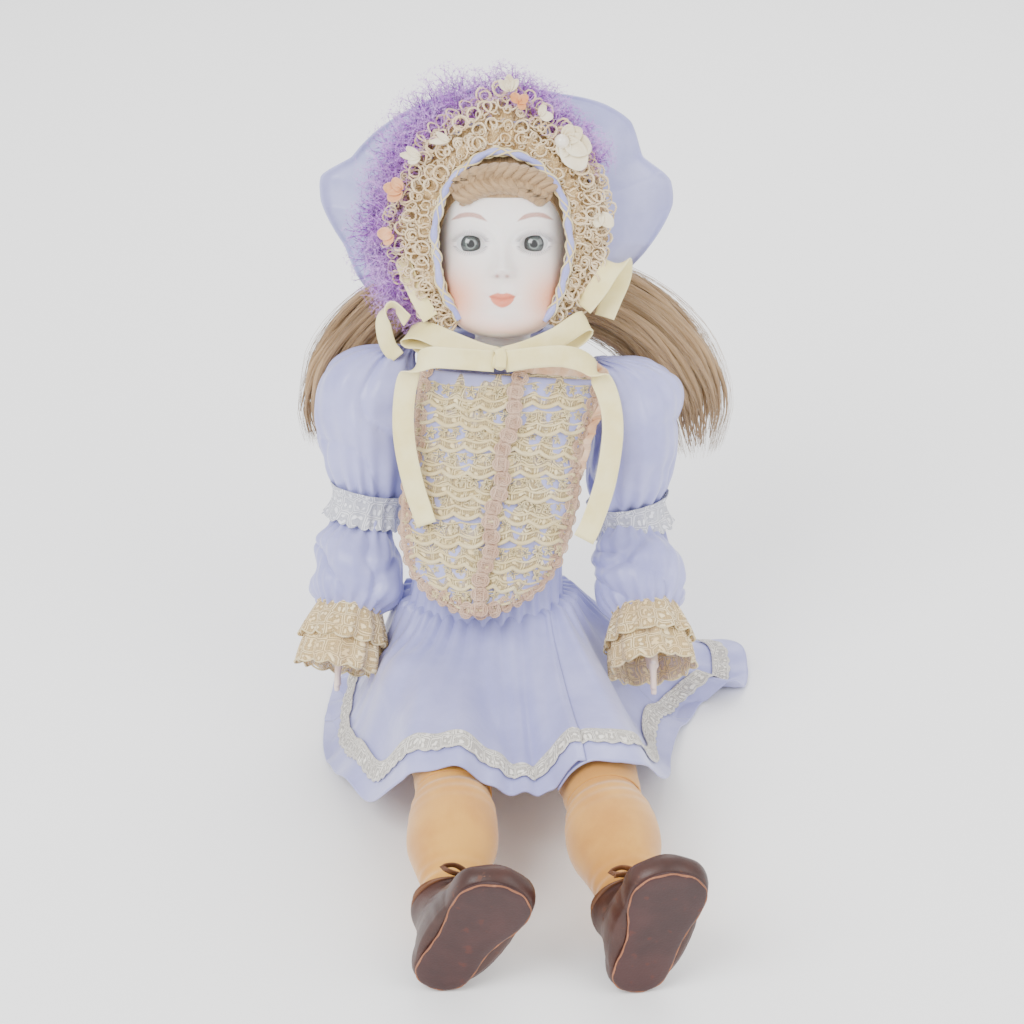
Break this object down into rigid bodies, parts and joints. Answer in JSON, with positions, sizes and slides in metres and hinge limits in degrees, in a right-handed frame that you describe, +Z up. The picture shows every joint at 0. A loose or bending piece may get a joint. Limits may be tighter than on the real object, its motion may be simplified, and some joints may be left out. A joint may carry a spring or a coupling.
{
  "type": "porcelain doll",
  "caption": "Seated bisque-head doll with a strung ball-jointed body, satin dress with a lace bib, feathered bonnet, stockings and leather shoes.",
  "frame": {"origin": "on the surface it sits on, under the middle of the hip joints, at the underside of the petticoat", "axes": "+Z up, the doll faces -Y, and its left hand is on +X"},
  "size_m": [0.2883, 0.441, 0.3708],
  "materials": {
    "beech": "matte",
    "bisque": "matte",
    "bonnet_satin": "satin",
    "composition": "satin",
    "cream_lace": "matte",
    "cream_ribbon": "satin",
    "dress_satin": "satin",
    "ecru_lace": "matte",
    "elastic": "matte",
    "eye_glass": "gloss",
    "feather": "matte",
    "floral_lace": "matte",
    "gimp_braid": "satin",
    "hair": "satin",
    "hand_paint": "satin",
    "lace_leather": "satin",
    "organza": "satin",
    "pearl": "gloss",
    "petticoat_cotton": "matte",
    "plaster": "matte",
    "pressed_card": "matte",
    "satin_cord": "satin",
    "shoe_leather": "satin",
    "silk_flower": "satin",
    "sole_leather": "matte",
    "steel_wire": "satin",
    "stocking_knit": "matte"
  },
  "bodies": {
    "torso": {"torso_shell": "composition", "arm_elastic": "elastic", "leg_elastic": "elastic", "neck_hook": "steel_wire", "dress_bodice": "dress_satin", "bib_panel": "floral_lace", "bib_braid": "gimp_braid", "neck_ruffle": "organza", "skirt_back": "dress_satin", "petticoat": "petticoat_cotton"},
    "head": {"head_shell": "bisque", "neck_button": "beech", "glass_eyes": "eye_glass", "eye_setting": "plaster", "pate": "pressed_card", "wig_cap": "hair", "forehead_braid": "hair", "hair_right": "hair", "hair_left": "hair", "bonnet_crown": "bonnet_satin", "bonnet_brim": "bonnet_satin", "bonnet_frill": "ecru_lace", "bonnet_cord": "satin_cord", "feather_trim": "feather", "bonnet_flowers": "silk_flower", "pearl_bead": "pearl", "chin_bow": "cream_ribbon", "ribbon_tail_right": "cream_ribbon", "ribbon_tail_left": "cream_ribbon"},
    "shoulder_ball_right": {"shoulder_ball_right": "composition"},
    "upper_arm_right": {"upper_arm_right": "composition", "sleeve_upper_right": "dress_satin", "sleeve_band_right": "cream_lace"},
    "forearm_right": {"forearm_right": "composition", "sleeve_lower_right": "dress_satin", "cuff_lace_right": "cream_lace"},
    "hand_right": {"hand_right": "hand_paint"},
    "shoulder_ball_left": {"shoulder_ball_left": "composition"},
    "upper_arm_left": {"upper_arm_left": "composition", "sleeve_upper_left": "dress_satin", "sleeve_band_left": "cream_lace"},
    "forearm_left": {"forearm_left": "composition", "sleeve_lower_left": "dress_satin", "cuff_lace_left": "cream_lace"},
    "hand_left": {"hand_left": "hand_paint"},
    "thigh_right": {"thigh_right": "composition", "skirt_lap_right": "dress_satin"},
    "shin_right": {"shin_right": "composition", "stocking_right": "stocking_knit", "shoe_upper_right": "shoe_leather", "shoe_sole_right": "sole_leather", "shoe_tie_right": "lace_leather"},
    "thigh_left": {"thigh_left": "composition", "skirt_lap_left": "dress_satin"},
    "shin_left": {"shin_left": "composition", "stocking_left": "stocking_knit", "shoe_upper_left": "shoe_leather", "shoe_sole_left": "sole_leather", "shoe_tie_left": "lace_leather"}
  },
  "joints": [
    {"name": "neck_turn", "type": "hinge", "parent": "torso", "child": "head", "pos_m": [0.01239, 0.0693, 0.2264], "axis": [0, 0.342, 0.9397], "range_deg": [-35, 35], "deforming": ["hair_right", "hair_left", "ribbon_tail_right", "ribbon_tail_left", "neck_ruffle", "chin_bow"]},
    {"name": "shoulder_swing_right", "type": "hinge", "parent": "torso", "child": "shoulder_ball_right", "pos_m": [-0.05489, 0.06283, 0.20861], "axis": [-0.9981, 0.0209, 0.0574], "range_deg": [-25, 110]},
    {"name": "shoulder_lift_right", "type": "hinge", "parent": "shoulder_ball_right", "child": "upper_arm_right", "pos_m": [-0.05489, 0.06283, 0.20861], "axis": [0.0085, 0.9781, -0.2082], "range_deg": [-5, 60], "deforming": ["sleeve_upper_right"]},
    {"name": "elbow_bend_right", "type": "hinge", "parent": "upper_arm_right", "child": "forearm_right", "pos_m": [-0.07051, 0.04535, 0.12587], "axis": [-0.9833, 0.046, 0.1759], "range_deg": [-25, 55], "deforming": ["sleeve_lower_right", "sleeve_band_right"]},
    {"name": "wrist_bend_right", "type": "hinge", "parent": "forearm_right", "child": "hand_right", "pos_m": [-0.08262, 0.00233, 0.06942], "axis": [-0.9833, 0.046, 0.1759], "range_deg": [-30, 30], "deforming": ["cuff_lace_right"]},
    {"name": "hip_swing_right", "type": "hinge", "parent": "torso", "child": "thigh_right", "pos_m": [-0.03793, 0.00079, 0.03818], "axis": [0.9848, 0.1736, 0], "range_deg": [-10, 76], "deforming": ["skirt_lap_right", "skirt_back", "petticoat", "bib_panel", "bib_braid", "dress_bodice"]},
    {"name": "knee_bend_right", "type": "hinge", "parent": "thigh_right", "child": "shin_right", "pos_m": [-0.01444, -0.13241, 0.0524], "axis": [0.8857, 0.108, -0.4515], "range_deg": [-20, 72]},
    {"name": "shoulder_swing_left", "type": "hinge", "parent": "torso", "child": "shoulder_ball_left", "pos_m": [0.07687, 0.06007, 0.20104], "axis": [-0.9981, 0.0209, 0.0574], "range_deg": [-25, 110]},
    {"name": "shoulder_lift_left", "type": "hinge", "parent": "shoulder_ball_left", "child": "upper_arm_left", "pos_m": [0.07687, 0.06007, 0.20104], "axis": [-0.0137, -0.9924, 0.1223], "range_deg": [-5, 60], "deforming": ["sleeve_upper_left"]},
    {"name": "elbow_bend_left", "type": "hinge", "parent": "upper_arm_left", "child": "forearm_left", "pos_m": [0.09119, 0.04951, 0.1169], "axis": [-0.9859, -0.0069, -0.167], "range_deg": [-44, 36], "deforming": ["sleeve_lower_left", "sleeve_band_left"]},
    {"name": "wrist_bend_left", "type": "hinge", "parent": "forearm_left", "child": "hand_left", "pos_m": [0.09913, -0.00649, 0.07235], "axis": [-0.9859, -0.0069, -0.167], "range_deg": [-30, 30], "deforming": ["cuff_lace_left"]},
    {"name": "hip_swing_left", "type": "hinge", "parent": "torso", "child": "thigh_left", "pos_m": [0.03793, -0.00079, 0.03382], "axis": [0.9781, 0.2079, 0], "range_deg": [-10, 76], "deforming": ["skirt_lap_left"]},
    {"name": "knee_bend_left", "type": "hinge", "parent": "thigh_left", "child": "shin_left", "pos_m": [0.06605, -0.13309, 0.04804], "axis": [0.9613, 0.1821, -0.2068], "range_deg": [-16, 72]}
  ]
}
